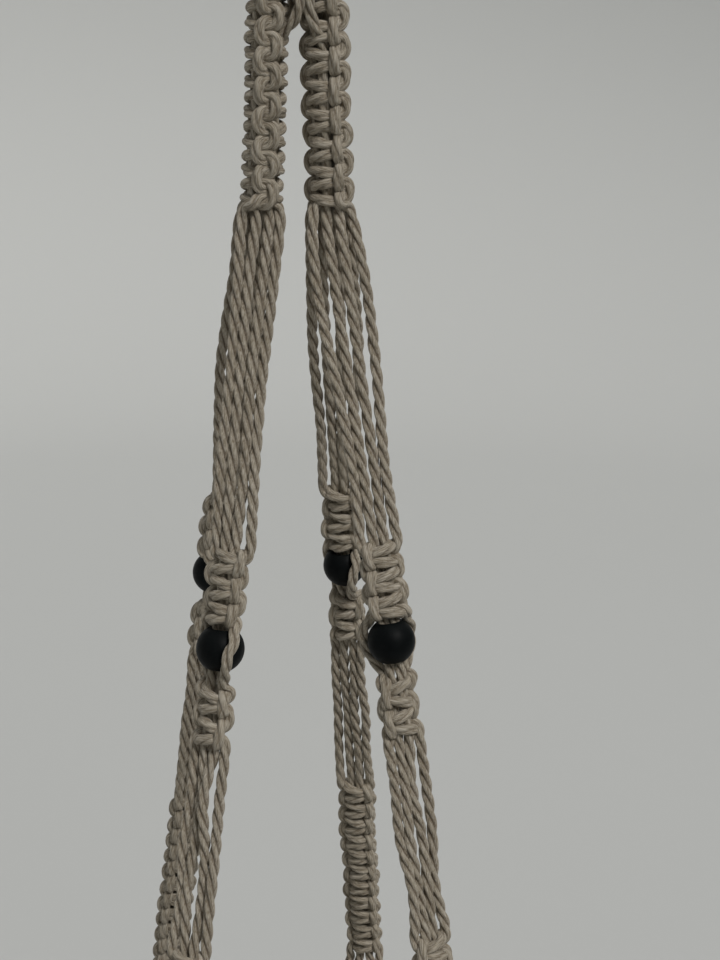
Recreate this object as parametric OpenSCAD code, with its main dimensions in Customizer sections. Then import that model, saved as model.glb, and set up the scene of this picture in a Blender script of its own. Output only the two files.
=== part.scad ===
// Hanging macrame planter: a wooden ring, sixteen rope strands tied into two thick sinnets that
// part into four beaded arms, a knotted basket with a pot in it, and a tassel below.
// Millimetres, +Z up. The origin is where a hook bears: the inside top of the ring.
// +X runs from the left thick sinnet to the right one, and -Y is the front.

/* [Rope] */
// Diameter of a rope strand as it lies under load
cord_d = 4.6; // [4.2:0.1:4.8]
// Distance between strands that lie side by side
cord_pitch = 4.8; // [4.8:0.1:5.2]

/* [Ring] */
// Inside diameter of the hanging ring
ring_inner_d = 50; // [50:1:60]
// Thickness of the ring's round section
ring_bar_d = 8; // [6:0.5:9]

/* [Top] */
// Height of both gathering wraps
wrap_h = 26; // [20:1:30]
// Distance from the hook point down to where the thick sinnets end
split_drop = 230; // [225:1:260]
// Knots in each thick sinnet
main_knots = 8; // [6:1:8]
// Length of one square knot in the thick sinnets
main_knot_pitch = 12; // [11:0.5:12]

/* [Arms] */
// Radius of the circle that the arms reach at arm_reach_drop
arm_reach = 113; // [110:1:118]
// Width of a square knot sinnet of four strands
knot_w = 18.4; // [18:0.2:20]
// Thickness of a square knot sinnet
knot_t = 11; // [10:0.5:12]
// Diameter of the beads
bead_d = 21; // [20:1:22]

/* [Pot] */
// Largest diameter of the pot, at its belly
pot_d = 212; // [200:1:212]
// Height of the pot
pot_h = 165; // [150:1:175]
// Wall thickness of the pot
pot_wall = 5; // [4:0.5:7]

/* [Tassel] */
// Length of the tassel strands below the lower wrap
tassel_l = 165; // [120:5:220]

/* [Hidden] */
ARMS = ["front_left", "front_right", "back_right", "back_left"];
SIDES = ["front", "right", "back", "left"];

cotton = "#b9ad9c";
shade_cotton = "#a89c8b";
black_paint = "#15181a";
pale_wood = "#c8a677";
stoneware = "#d9d6cf";

cord_r = cord_d / 2;
clear = 0.3;
seam = 0.15;
lean_seam = 1.2;
knot_seam = 0.5;
bead_seam = 0.8;
lower_seam = 0.3;
long_seam = 0.4;
row = [-1.5, -0.5, 0.5, 1.5] * cord_pitch;
round_sides = 48;

// Ring
ring_bar_r = ring_bar_d / 2;
ring_r = ring_inner_d / 2 + ring_bar_r;
ring_z = -ring_inner_d / 2;
fold_r = ring_bar_r + clear + cord_r + 0.2;
fold_count = 8;
fold_step = 2 * asin(cord_pitch / 2 / (ring_r - fold_r));
below_ring_z = ring_z - ring_r - ring_bar_r - cord_r - 1;
fold_part_z = below_ring_z - 12;
fold_part_share = 0.35;

// Gathering at the top
wrap_bore_r = norm([row[3], row[3]]) + cord_r + clear;
wrap_turns = 5;
wrap_cord_r = wrap_h / wrap_turns / 2;
main_top_z = -split_drop + main_knots * main_knot_pitch;
neck_h = 18;
neck_cord_r = cord_r * 0.92;
neck_foot_offset = 2.5;
top_wrap_z = main_top_z + neck_h;
crotch_z = -split_drop + 72;
main_top_x = 11;
main_foot_x = 15;
main_w = 19;
main_t = 17;
main_turn = [90, -48];

// Arms: drops are measured down from the end of the thick sinnets
arm_reach_drop = 430;
arm_angle = [231, 304, 62, 121];
arm_face = [238, 272, 243, 300];
arm_long_face = [231, 304, 242, 301];
arm_start_y = 14.8;
upper_head_y = 3.2;
upper_drop = 141;
bead_drop = 184;
lower_drop = 200;
lower_end_drop = 226;
long_drop = 318;
long_end_drop = 436;
upper_knots = 3;
lower_knots = 2;
long_knots = 11;
bead_r = bead_d / 2;
bead_bore_r = cord_pitch / 2 + cord_r + clear;

// Basket and pot: drops are measured from the same level
rim_drop = 446;
belly_share = 0.33;
rim_tuck = 10;
base_tuck = 42;
pot_base_h = 7;
lay_gap = 0.6;
basket_knot_drop = 531;
basket_knot_l = 14;
basket_knot_w = 20;
cord_spread = 2;
base_drop = rim_drop + pot_h;
lower_wrap_drop = base_drop + 46;

function unit(v) = v / norm(v);
function lerp(a, b, t) = a + (b - a) * t;
function polar(r, angle, z) = [r * cos(angle), r * sin(angle), z];
function turned(v, k, angle) =
  v * cos(angle) + cross(k, v) * sin(angle) + k * (k * v) * (1 - cos(angle));

// A straight strand between two points
module rod(a, b, r = cord_r) {
  d = b - a;
  translate(a)
    rotate([0, acos(d.z / norm(d)), atan2(d.y, d.x)])
      cylinder(h = norm(d), r = r, $fn = round_sides);
}

// A bent strand: rings of eight corners swept along points, square to the path
module tube(points, r = cord_r, ref = [0, 0, 1], sides = 8) {
  n = len(points);
  rings = [
    for (i = [0:n - 1])
      let (t = unit(points[min(i + 1, n - 1)] - points[max(i - 1, 0)]))
      let (u = unit(cross(t, ref)))
      let (v = cross(t, u))
      for (k = [0:sides - 1])
        points[i] + r * (u * cos(360 * k / sides) + v * sin(360 * k / sides))
  ];
  walls = [
    for (i = [0:n - 2])
      for (k = [0:sides - 1])
        let (j = (k + 1) % sides)
        [i * sides + j, i * sides + k, (i + 1) * sides + k, (i + 1) * sides + j]
  ];
  start = [for (k = [0:sides - 1]) k];
  finish = [for (k = [sides - 1:-1:0]) (n - 1) * sides + k];
  polyhedron(points = rings, faces = concat([start], walls, [finish]), convexity = 6);
}

// A sinnet of square knots hanging down from z = 0, its face towards -Y
module sinnet(knots, pitch, width, thick) {
  bump_r = pitch * 0.48;
  rotate([90, 0, 0])
    linear_extrude(thick, center = true) {
      translate([-width / 2 + 1.6, -knots * pitch])
        square([width - 3.2, knots * pitch]);
      for (k = [0:knots - 1])
        for (side = [-1, 1])
          translate([side * (width / 2 - bump_r), -(k + 0.5) * pitch])
            circle(r = bump_r, $fn = round_sides);
    }
}

// A gathering wrap hanging down from z = 0 round the bundle
module wrap() {
  rotate_extrude($fn = 96) {
    translate([wrap_bore_r, -wrap_h + wrap_cord_r / 2])
      square([wrap_cord_r, wrap_h - wrap_cord_r]);
    for (k = [0:wrap_turns - 1])
      translate([wrap_bore_r + wrap_cord_r, -(k + 0.5) * 2 * wrap_cord_r])
        circle(r = wrap_cord_r, $fn = round_sides);
  }
}

// Arms
function arm_side(i) = (i == 0 || i == 3) ? -1 : 1;
function arm_front(i) = i < 2 ? -1 : 1;
function arm_start(i) = [arm_side(i) * main_foot_x, arm_front(i) * arm_start_y, -split_drop];
function arm_end(i) = polar(arm_reach, arm_angle[i], -split_drop - arm_reach_drop);
function arm_dir(i) = unit(arm_end(i) - arm_start(i));
function arm_at(i, drop) = lerp(arm_start(i), arm_end(i), drop / arm_reach_drop);
function arm_tilt_axis(i) = unit(cross([0, 0, -1], arm_dir(i)));
function arm_tilt(i) = acos(-arm_dir(i).z);
function arm_across(i, face) =
  turned([-sin(face), cos(face), 0], arm_tilt_axis(i), arm_tilt(i));
function arm_point(i, drop, face, x) = arm_at(i, drop) + x * arm_across(i, face);
function arm_length(i, from, to) = norm(arm_at(i, to) - arm_at(i, from));

module on_arm(i, drop, face) {
  translate(arm_at(i, drop))
    rotate(a = arm_tilt(i), v = arm_tilt_axis(i))
      rotate([0, 0, face + 90])
        children();
}

module arm_sinnet(i, from, to, face, knots) {
  on_arm(i, from, face)
    sinnet(knots, arm_length(i, from, to) / knots, knot_w, knot_t);
}

// Pot outline and the line of a cord that lies on it
function pot_share(drop) = (drop - rim_drop) / pot_h;
function pot_r(drop) =
  let (s = pot_share(drop))
  s < belly_share
    ? pot_d / 2 - rim_tuck * pow((belly_share - s) / belly_share, 2)
    : pot_d / 2 - base_tuck * pow((s - belly_share) / (1 - belly_share), 2);
belly_drop = rim_drop + belly_share * pot_h;
function lay_r(drop, start_r) =
  drop < belly_drop
    ? lerp(start_r, pot_d / 2 + cord_r + lay_gap,
           (drop - long_end_drop) / (belly_drop - long_end_drop))
    : pot_r(drop) + cord_r + lay_gap;
function pot_slope(drop) = atan((pot_r(drop - 4) - pot_r(drop + 4)) / 8);

// Basket knots stand midway between neighbouring arms: front, right, back, left
function wrapped(a, near) = a < near - 180 ? a + 360 : a > near + 180 ? a - 360 : a;
function basket_angle(j) =
  let (a = arm_angle[j])
  let (b = wrapped(arm_angle[(j + 1) % 4], a))
  (a + b) / 2;

// ---- Hanging ring and gathering ----

module hanging_ring() {
  color(pale_wood)
    translate([0, 0, ring_z])
      rotate([90, 0, 0])
        rotate_extrude($fn = 120)
          translate([ring_r, 0])
            circle(r = ring_bar_r, $fn = round_sides);
}

function fold_angle(k) = (k - (fold_count - 1) / 2) * fold_step;
function fold_foot(k, side) =
  [ring_r * sin(fold_angle(k)), side * fold_r, ring_z - ring_r * cos(fold_angle(k))];
function fold_wrap_x(k) = row[floor(k / 2)];
function fold_wrap_y(k, side) = side * (k % 2 == 0 ? row[3] : row[2]);

module fold(k) {
  arc_steps = 6;
  arc = [
    for (s = [0:arc_steps])
      let (t = 180 * s / arc_steps)
      let (lift = fold_r * sin(t))
      [
        (ring_r - lift) * sin(fold_angle(k)),
        -fold_r * cos(t),
        ring_z - (ring_r - lift) * cos(fold_angle(k))
      ]
  ];
  function leg(side) = [
    [fold_foot(k, side).x, side * fold_r, below_ring_z],
    [lerp(fold_foot(k, side).x, fold_wrap_x(k), fold_part_share), fold_wrap_y(k, side), fold_part_z],
    [fold_wrap_x(k), fold_wrap_y(k, side), top_wrap_z + wrap_h],
    [fold_wrap_x(k), fold_wrap_y(k, side), top_wrap_z]
  ];
  front = leg(-1);
  back = leg(1);
  tube(concat([front[3], front[2], front[1], front[0]], arc, back), ref = [1, 0, 0]);
}

module folded_cords() {
  color(cotton)
    for (k = [0:fold_count - 1])
      fold(k);
}

module top_wrap() {
  color(shade_cotton)
    translate([0, 0, top_wrap_z + wrap_h])
      wrap();
}

function neck_is_centre(column, rank) =
  (column == 1 || column == 2) && (rank == 0 || rank == 3);
centre_x = [0, -0.2, 4.5];
centre_y = [-9.4, 0, 0, 11.6];

// Twelve strands fan out into the sinnets' tops, and four run down between them
module neck_strands() {
  color(cotton)
    for (column = [0:3])
      for (rank = [0:3]) {
        top = [row[column], row[rank], top_wrap_z - lean_seam];
        if (neck_is_centre(column, rank)) {
          tube([
            top,
            [centre_x[column], centre_y[rank], main_top_z + 2],
            [centre_x[column], centre_y[rank], crotch_z]
          ], ref = [0, 1, 0]);
        } else {
          side = column < 2 ? -1 : 1;
          inner = column == 1 || column == 2;
          foot_x = side * (main_top_x + (inner ? -1 : 1) * neck_foot_offset);
          rod(top, [foot_x, row[rank], main_top_z + lean_seam], neck_cord_r);
        }
      }
}

module main_sinnet(side, turn) {
  lean = atan((main_foot_x - main_top_x) / (main_knots * main_knot_pitch));
  color(cotton)
    translate([side * main_top_x, 0, main_top_z])
      rotate([0, -side * lean, 0])
        rotate([0, 0, turn])
          sinnet(main_knots, main_knot_pitch, main_w, main_t);
}

module main_sinnet_left() {
  main_sinnet(-1, main_turn[0]);
}

module main_sinnet_right() {
  main_sinnet(1, main_turn[1]);
}

// ---- The four arms ----

module upper_strands(i) {
  color(cotton)
    for (k = [0:3]) {
      foot = arm_point(i, upper_drop, arm_face[i], row[k]);
      head = [arm_side(i) * main_foot_x + row[k], arm_front(i) * upper_head_y, -split_drop - lay_gap];
      rod(head, lerp(foot, head, 0.004));
    }
}

module upper_knots(i) {
  color(cotton)
    arm_sinnet(i, upper_drop, bead_drop - bead_r + knot_seam, arm_face[i], upper_knots);
}

module bead(i) {
  color(black_paint)
    on_arm(i, bead_drop, arm_face[i])
      difference() {
        sphere(r = bead_r, $fn = 64);
        cylinder(h = bead_d + 2, r = bead_bore_r, center = true, $fn = 64);
      }
}

module bead_fillers(i) {
  color(shade_cotton)
    for (k = [1, 2])
      rod(
        arm_point(i, bead_drop - bead_r + bead_seam, arm_face[i], row[k]),
        arm_point(i, lower_drop - lower_seam, arm_face[i], row[k])
      );
}

// The two tying strands go round the bead and back in to the next knots
module bead_side_cords(i) {
  bow = bead_r + 2 * clear + cord_r;
  color(cotton)
    for (side = [-1, 1])
      tube([
        for (s = [0:9])
          let (drop = lerp(bead_drop - bead_r + bead_seam, lower_drop - lower_seam, s / 9))
          let (along = min(bow, arm_length(i, bead_drop, drop)))
          let (x = max(row[3], sqrt(bow * bow - along * along)))
          arm_point(i, drop, arm_face[i], side * x)
      ], ref = turned(polar(1, arm_face[i], 0), arm_tilt_axis(i), arm_tilt(i)));
}

module lower_knots(i) {
  color(cotton)
    arm_sinnet(i, lower_drop, lower_end_drop, arm_face[i], lower_knots);
}

module long_strands(i) {
  color(cotton)
    for (k = [0:3])
      rod(
        arm_point(i, lower_end_drop + long_seam, arm_face[i], row[k]),
        arm_point(i, long_drop - long_seam, arm_long_face[i], row[k])
      );
}

module long_sinnet(i) {
  color(cotton)
    arm_sinnet(i, long_drop, long_end_drop, arm_long_face[i], long_knots);
}

// ---- Basket ----

// A cord from the foot of an arm, round the pot, to the basket knot on one side of it
function outward(i) = i < 2 ? 1 : -1;
function basket_path(i, k) =
  let (way = k > 1 ? 1 : -1)
  let (j = way > 0 ? i : (i + 3) % 4)
  let (upper = k == 0 || k == 3)
  let (foot = arm_point(i, long_end_drop + knot_seam, arm_long_face[i], outward(i) * row[k]))
  let (start_r = norm([foot.x, foot.y]))
  let (start_a = wrapped(atan2(foot.y, foot.x), arm_angle[i]))
  let (goal_x = -way * (upper ? row[2] : row[3]))
  let (goal_a = wrapped(basket_angle(j), start_a) + goal_x / lay_r(basket_knot_drop, 0) * 180 / PI)
  let (steps = 10)
  [
    for (s = [0:steps])
      let (t = s / steps)
      let (turn = t * t * (3 - 2 * t))
      let (drop = lerp(long_end_drop + knot_seam, basket_knot_drop - lay_gap, t))
      let (lift = (upper ? 1 : -1) * cord_spread * pow(sin(180 * t), 0.8))
      polar(lay_r(drop, start_r), lerp(start_a, goal_a, turn), -split_drop - drop + lift)
  ];

module basket_cords(i) {
  color(cotton)
    for (k = [0:3])
      tube(basket_path(i, k), ref = polar(1, arm_angle[i], 0));
}

module basket_knot(j) {
  middle = basket_knot_drop + basket_knot_l / 2;
  color(cotton)
    translate(polar(pot_r(middle) + lay_gap + knot_t / 2, basket_angle(j), -split_drop - middle))
      rotate([0, 0, basket_angle(j) + 90])
        rotate([pot_slope(middle), 0, 0])
          translate([0, 0, basket_knot_l / 2])
            sinnet(1, basket_knot_l, basket_knot_w, knot_t);
}

// Where the four strands of one side stand in the lower bundle: outwards and across, in pitches
bundle_place = [[1.414, 0.707], [2.121, 0], [0.707, 0], [1.414, -0.707]];
// Their way in under the pot: outwards, across, and down from the pot's base
gather_way = [
  [[32, 7.2, 24], [18, 6.4, 34.5], [11, 4.9, 40.5]],
  [[32, 2.4, 24.5], [18, 1.7, 36], [12.5, 0.2, 41.5]],
  [[32, -2.4, 23], [18, -1.9, 31], [10, -0.8, 36], [4.6, -0.2, 40]],
  [[32, -7.2, 24], [18, -6.6, 34.5], [11, -4.9, 40.5]]
];
gathered_r = 18;

// The strands turn into an even cross of four groups as they near the wrap
function bundle_angle(j, out) =
  let (edge_r = pot_r(base_drop))
  let (share = min(1, max(0, (edge_r - out) / (edge_r - gathered_r))))
  lerp(basket_angle(j), wrapped(90 * j - 90, basket_angle(j)), share);
function bundle_point(j, out, across, drop) =
  let (a = bundle_angle(j, out))
  [out * cos(a) - across * sin(a), out * sin(a) + across * cos(a), -split_drop - drop];

module base_cords(j) {
  top = basket_knot_drop + basket_knot_l + lay_gap;
  edge_r = pot_r(base_drop);
  color(cotton)
    for (k = [0:3]) {
      place = bundle_place[k] * cord_pitch;
      side_drops = [top, top + 14, top + 28, top + 42, base_drop - 11];
      way = concat(
        [for (d = side_drops) [lay_r(d, 0), -row[k], d]],
        [[edge_r + 2.2, -row[k], base_drop + 2.6], [edge_r - 9, -row[k], base_drop + 9]],
        [for (g = gather_way[k]) [g.x, g.y, base_drop + g.z]],
        [[place.x, place.y, lower_wrap_drop - 2]],
        [[place.x, place.y, lower_wrap_drop + wrap_h]]
      );
      tube(
        [for (p = way) bundle_point(j, p.x, p.y, p.z)],
        ref = polar(1, basket_angle(j) + 90, 0)
      );
    }
}

module bottom_wrap() {
  color(shade_cotton)
    translate([0, 0, -split_drop - lower_wrap_drop])
      wrap();
}

module tassel() {
  top_drop = lower_wrap_drop + wrap_h + seam;
  splay = 0.5;
  color(cotton)
    for (j = [0:3])
      for (k = [0:3]) {
        place = bundle_place[k] * cord_pitch;
        tube([
          for (s = [0, 0.2, 0.45, 0.72, 1])
            bundle_point(j, place.x * (1 + splay * s), place.y * (1 + splay * s),
                         top_drop + tassel_l * s)
        ], ref = [0, 1, 0]);
      }
}

// ---- Pot ----

module pot() {
  steps = 20;
  outside = [
    for (s = [steps:-1:0])
      let (drop = rim_drop + pot_h * s / steps)
      [pot_r(drop), -split_drop - drop]
  ];
  inside = [
    for (s = [0:steps])
      let (drop = lerp(rim_drop, base_drop - pot_base_h, s / steps))
      [pot_r(drop) - pot_wall, -split_drop - drop]
  ];
  color(stoneware)
    rotate_extrude($fn = 120)
      polygon(concat(
        [[0, -split_drop - base_drop]],
        outside,
        inside,
        [[0, -split_drop - base_drop + pot_base_h]]
      ));
}

hanging_ring();
folded_cords();
top_wrap();
neck_strands();
main_sinnet_left();
main_sinnet_right();
for (i = [0:3]) {
  upper_strands(i);
  upper_knots(i);
  bead(i);
  bead_fillers(i);
  bead_side_cords(i);
  lower_knots(i);
  long_strands(i);
  long_sinnet(i);
  basket_cords(i);
}
for (j = [0:3]) {
  basket_knot(j);
  base_cords(j);
}
bottom_wrap();
tassel();
pot();
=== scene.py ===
"""Looks of the hanging macrame planter. Lengths inside are millimetres until a mesh is made."""
import math

import bpy
import numpy as np
from mathutils import Matrix, Vector

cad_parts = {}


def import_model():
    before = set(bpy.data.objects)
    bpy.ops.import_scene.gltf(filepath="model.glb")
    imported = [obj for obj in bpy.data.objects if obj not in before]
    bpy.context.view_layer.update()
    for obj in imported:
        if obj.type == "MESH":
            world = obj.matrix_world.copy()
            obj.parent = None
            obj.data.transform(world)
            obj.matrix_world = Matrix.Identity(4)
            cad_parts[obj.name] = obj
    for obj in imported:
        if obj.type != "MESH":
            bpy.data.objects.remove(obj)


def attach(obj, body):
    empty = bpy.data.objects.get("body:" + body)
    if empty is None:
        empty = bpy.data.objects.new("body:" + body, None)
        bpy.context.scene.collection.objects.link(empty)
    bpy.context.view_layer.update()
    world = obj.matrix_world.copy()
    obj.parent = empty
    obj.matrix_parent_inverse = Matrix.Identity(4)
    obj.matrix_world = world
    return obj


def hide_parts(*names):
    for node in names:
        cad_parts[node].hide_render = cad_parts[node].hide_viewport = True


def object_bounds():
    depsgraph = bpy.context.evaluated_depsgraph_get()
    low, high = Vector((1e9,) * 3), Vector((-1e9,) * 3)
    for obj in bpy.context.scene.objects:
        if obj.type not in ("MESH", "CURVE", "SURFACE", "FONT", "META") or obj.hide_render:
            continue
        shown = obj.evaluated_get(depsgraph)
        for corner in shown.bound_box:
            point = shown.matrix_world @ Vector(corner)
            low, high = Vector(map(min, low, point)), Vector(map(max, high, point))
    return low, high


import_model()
cad_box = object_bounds()
rng = np.random.default_rng(7)

ARMS = ["front_left", "front_right", "back_right", "back_left"]
SIDES = ["front", "right", "back", "left"]
M = 0.001

# ---------------------------------------------------------------- camera
LENS_MM = 59.5125
SENSOR_MM = 36.0
CLIP_NEAR, CLIP_FAR = 0.02, 200.0
# The camera's place in metres and the way it looks, fitted to the photograph's framing
CAMERA_AT = Vector((-0.0919, -0.6814, -0.147))
YAW_DEG, PITCH_DEG, ROLL_DEG = 10.1, 16.7, 0.7


def make_camera():
    yaw, pitch, roll = (math.radians(a) for a in (YAW_DEG, PITCH_DEG, ROLL_DEG))
    flat = Vector((math.sin(yaw), math.cos(yaw), 0))
    look = flat * math.cos(pitch) - Vector((0, 0, math.sin(pitch)))
    right = look.cross(Vector((0, 0, 1))).normalized()
    up = right.cross(look)
    turned_right = right * math.cos(roll) + up * math.sin(roll)
    turned_up = up * math.cos(roll) - right * math.sin(roll)
    axes = Matrix((turned_right, turned_up, -look)).transposed()
    data = bpy.data.cameras.new("camera")
    data.sensor_width = SENSOR_MM
    data.lens = LENS_MM
    data.clip_start, data.clip_end = CLIP_NEAR, CLIP_FAR
    camera = bpy.data.objects.new("camera", data)
    camera.matrix_world = Matrix.Translation(CAMERA_AT) @ axes.to_4x4()
    bpy.context.scene.collection.objects.link(camera)
    bpy.context.scene.camera = camera


make_camera()

# ---------------------------------------------------------------- the hanger's measures, as in the CAD
# A name that ends in _Z is a height. A drop is measured down from the arms' start, at -SPLIT.
CORD_D = 4.6
CORD_R = CORD_D / 2
SEAM = 0.3
PITCH = 4.8
ROW = np.array([-1.5, -0.5, 0.5, 1.5]) * PITCH
RING_BAR_R = 4.0
RING_R = 29.0
RING_Z = -25.0
FOLD_SLACK = 0.2
FOLD_R = RING_BAR_R + SEAM + CORD_R + FOLD_SLACK
FOLD_STEP = 2 * math.degrees(math.asin(PITCH / 2 / (RING_R - FOLD_R)))
BELOW_RING_GAP, FOLD_PART_DROP = 1.0, 12.0
BELOW_RING_Z = RING_Z - RING_R - RING_BAR_R - CORD_R - BELOW_RING_GAP
FOLD_PART_Z = BELOW_RING_Z - FOLD_PART_DROP
WRAP_H = 26.0
WRAP_BORE_R = math.hypot(ROW[3], ROW[3]) + CORD_R + SEAM
SPLIT = 230.0
MAIN_KNOTS = 8
MAIN_TOP_Z = -134.0
TOP_WRAP_Z = -116.0
CROTCH_Z = -158.0
MAIN_TOP_X, MAIN_FOOT_X = 11.0, 15.0
MAIN_FACE = [0.0, -138.0]
ARM_REACH, ARM_REACH_DROP = 113.0, 430.0
ARM_ANGLE = [231.0, 304.0, 62.0, 121.0]
ARM_FACE = [238.0, 272.0, 243.0, 300.0]
ARM_LONG_FACE = [231.0, 304.0, 242.0, 301.0]
ARM_START_Y, ARM_HEAD_Y = 14.8, 3.2
# Loose strands begin this far off a knot's end
KNOT_GAP, LEAVE_GAP, LONG_GAP = 0.6, 0.5, 1.0
UPPER, BEAD, LOWER, LOWER_END, LONG, LONG_END = 141.0, 184.0, 200.0, 226.0, 318.0, 436.0
UPPER_KNOTS, LOWER_KNOTS, LONG_KNOTS = 3, 2, 11
BEAD_R, BEAD_BORE_R, BEAD_SINK = 10.5, 5.0, 0.5
UPPER_END = BEAD - BEAD_R + BEAD_SINK
POT_D, POT_H, POT_WALL, POT_BASE_H = 212.0, 165.0, 5.0, 7.0
RIM_DROP, BELLY_SHARE, RIM_TUCK, BASE_TUCK = 446.0, 0.33, 10.0, 42.0
LAY_GAP = 0.6
BASKET_KNOT_DROP, BASKET_KNOT_L, KNOT_T = 531.0, 14.0, 11.0
BASE_DROP = RIM_DROP + POT_H
BASE_TO_WRAP = 46.0
LOWER_WRAP_DROP = BASE_DROP + BASE_TO_WRAP
TASSEL_L = 165.0
TASSEL_UNEVEN, TASSEL_WAVE = 6.0, 0.9
BELLY_DROP = RIM_DROP + BELLY_SHARE * POT_H


def unit(v):
    """The same direction with length 1."""
    v = np.asarray(v, float)
    return v / np.linalg.norm(v)


def lerp(a, b, t):
    return np.asarray(a, float) + (np.asarray(b, float) - np.asarray(a, float)) * t


def polar(r, angle, z):
    a = math.radians(angle)
    return np.array([r * math.cos(a), r * math.sin(a), z])


def turned(v, axis, angle):
    """The vector turned about the axis by an angle in degrees."""
    c, s = math.cos(math.radians(angle)), math.sin(math.radians(angle))
    return v * c + np.cross(axis, v) * s + axis * np.dot(axis, v) * (1 - c)


def arm_side(i):
    return -1 if i in (0, 3) else 1


def arm_front(i):
    return -1 if i < 2 else 1


def arm_start(i):
    return np.array([arm_side(i) * MAIN_FOOT_X, arm_front(i) * ARM_START_Y, -SPLIT])


def arm_end(i):
    return polar(ARM_REACH, ARM_ANGLE[i], -SPLIT - ARM_REACH_DROP)


def arm_dir(i):
    return unit(arm_end(i) - arm_start(i))


def arm_at(i, drop):
    return lerp(arm_start(i), arm_end(i), drop / ARM_REACH_DROP)


def arm_across(i, face):
    axis = unit(np.cross([0, 0, -1], arm_dir(i)))
    tilt = math.degrees(math.acos(-arm_dir(i)[2]))
    a = math.radians(face)
    return turned(np.array([-math.sin(a), math.cos(a), 0]), axis, tilt)


def arm_axes(i, face):
    """Across, inwards and up, for a sinnet whose face looks along -inwards."""
    across, up = arm_across(i, face), -arm_dir(i)
    return np.array([across, np.cross(up, across), up])


def pot_r(drop):
    """The pot's outer radius at a drop."""
    s = (drop - RIM_DROP) / POT_H
    if s < BELLY_SHARE:
        return POT_D / 2 - RIM_TUCK * ((BELLY_SHARE - s) / BELLY_SHARE) ** 2
    return POT_D / 2 - BASE_TUCK * ((s - BELLY_SHARE) / (1 - BELLY_SHARE)) ** 2


def lay_r(drop, start_r):
    """A strand's distance from the middle axis, where it nears the belly or lies on the pot."""
    if drop < BELLY_DROP:
        share = (drop - LONG_END) / (BELLY_DROP - LONG_END)
        return start_r + (POT_D / 2 + CORD_R + LAY_GAP - start_r) * share
    return pot_r(drop) + CORD_R + LAY_GAP


def wrapped(a, near):
    """The same angle, within half a turn of another."""
    return a + 360 if a < near - 180 else a - 360 if a > near + 180 else a


def basket_angle(j):
    return (ARM_ANGLE[j] + wrapped(ARM_ANGLE[(j + 1) % 4], ARM_ANGLE[j])) / 2


# ---------------------------------------------------------------- square knots
# The start shape's shift to the back, and its uneven run down the knot
CROSS_SHIFT, UNEVEN_RUN = 0.8, 0.2
# Rounds of pulling tight, and the share of them over which the pitch closes up
ROUNDS, CLOSING_SHARE = 320, 0.5
# How strongly one round straightens a strand and pushes it off the fillers and the other strands
STRAIGHTEN, OFF_FILLERS, OFF_STRANDS, LONGEST_PUSH = 0.9, 0.5, 0.18, 0.4
# Points of one strand that lie closer along it than this many gaps don't push each other
OWN_REACH = 1.6
KNOT_POINTS = 36


def even(points, pitch):
    """The same closed run of points at even spacing, and its length."""
    closed = np.vstack([points, points[:1] + [0, 0, -pitch]])
    run = np.concatenate([[0], np.cumsum(np.linalg.norm(np.diff(closed, axis=0), axis=1))])
    want = np.linspace(0, run[-1], len(points) + 1)[:-1]
    return np.stack([np.interp(want, run, closed[:, k]) for k in range(3)], 1), run[-1]


def square_knot(pitch, fillers, gap, filler_gap, half_w, half_d, loose):
    """One full square knot pulled tight round its fillers: the centrelines of both tying strands.
    The first starts on the left and crosses in front, the second starts on the right."""
    n = KNOT_POINTS
    w = 2 * math.pi * np.arange(n) / n
    z = -loose * (w / (2 * math.pi) + UNEVEN_RUN * np.sin(2 * w))
    a = np.stack([-half_w * np.cos(w), CROSS_SHIFT - half_d * np.sin(w) ** 2, z], 1)
    b = np.stack([half_w * np.cos(w), -half_d * np.cos(2 * w), z], 1)
    fillers = np.array(fillers, float)
    ids = np.arange(2 * n)
    same = (ids[:, None] < n) == (ids[None] < n)
    knots = np.arange(-2, 3)
    steps = np.stack([(ids[None] % n + k * n) - (ids[:, None] % n) for k in knots])
    shift = np.stack([knots * 0, knots * 0, -knots], 1).astype(float)
    before = loose
    for it in range(ROUNDS):
        p = loose + (pitch - loose) * min(1, it / (ROUNDS * CLOSING_SHARE))
        a[:, 2] *= p / before
        b[:, 2] *= p / before
        before = p
        for q in (a, b):
            up = np.vstack([q[-1:] + [0, 0, p], q[:-1]])
            down = np.vstack([q[1:], q[:1] + [0, 0, -p]])
            q += STRAIGHTEN * ((up + down) / 2 - q)
        a, la = even(a, p)
        b, lb = even(b, p)
        spacing = np.where(ids < n, la / n, lb / n)[None, :, None]
        near = same[None] & (np.abs(steps) * spacing < gap * OWN_REACH)
        for _ in range(2):
            for q in (a, b):
                d = q[:, None, :2] - fillers[None]
                r = np.linalg.norm(d, axis=2) + 1e-9
                push = np.clip(filler_gap - r, 0, None)[..., None]
                q[:, :2] += (d / r[..., None] * push).sum(1) * OFF_FILLERS
            both = np.concatenate([a, b])
            d = both[None, :, None] - (both[None] + shift[:, None] * p)[:, None]
            r = np.sqrt((d**2).sum(3)) + 1e-9
            push = np.where(near, 0, np.clip(gap - r, 0, None)) / r
            move = (d * push[..., None]).sum((0, 2)) * OFF_STRANDS
            size = np.linalg.norm(move, axis=1, keepdims=True)
            move *= np.minimum(1, LONGEST_PUSH / np.maximum(size, 1e-9))
            a += move[:n]
            b += move[n:]
    return a, b


FILLER_X, FILLER_Y = 2.2, 3.8
SLIM_FILLERS = [(-FILLER_X, 0), (FILLER_X, 0)]
THICK_FILLERS = [(x, y) for x in (-FILLER_X, FILLER_X) for y in (-FILLER_Y, 0, FILLER_Y)]
SLIM_PITCH, THICK_PITCH = 11.2, 12.0
slim_knot = square_knot(SLIM_PITCH, SLIM_FILLERS, gap=3.6, filler_gap=4.1, half_w=9.0, half_d=6.5,
                        loose=26.0)
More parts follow.
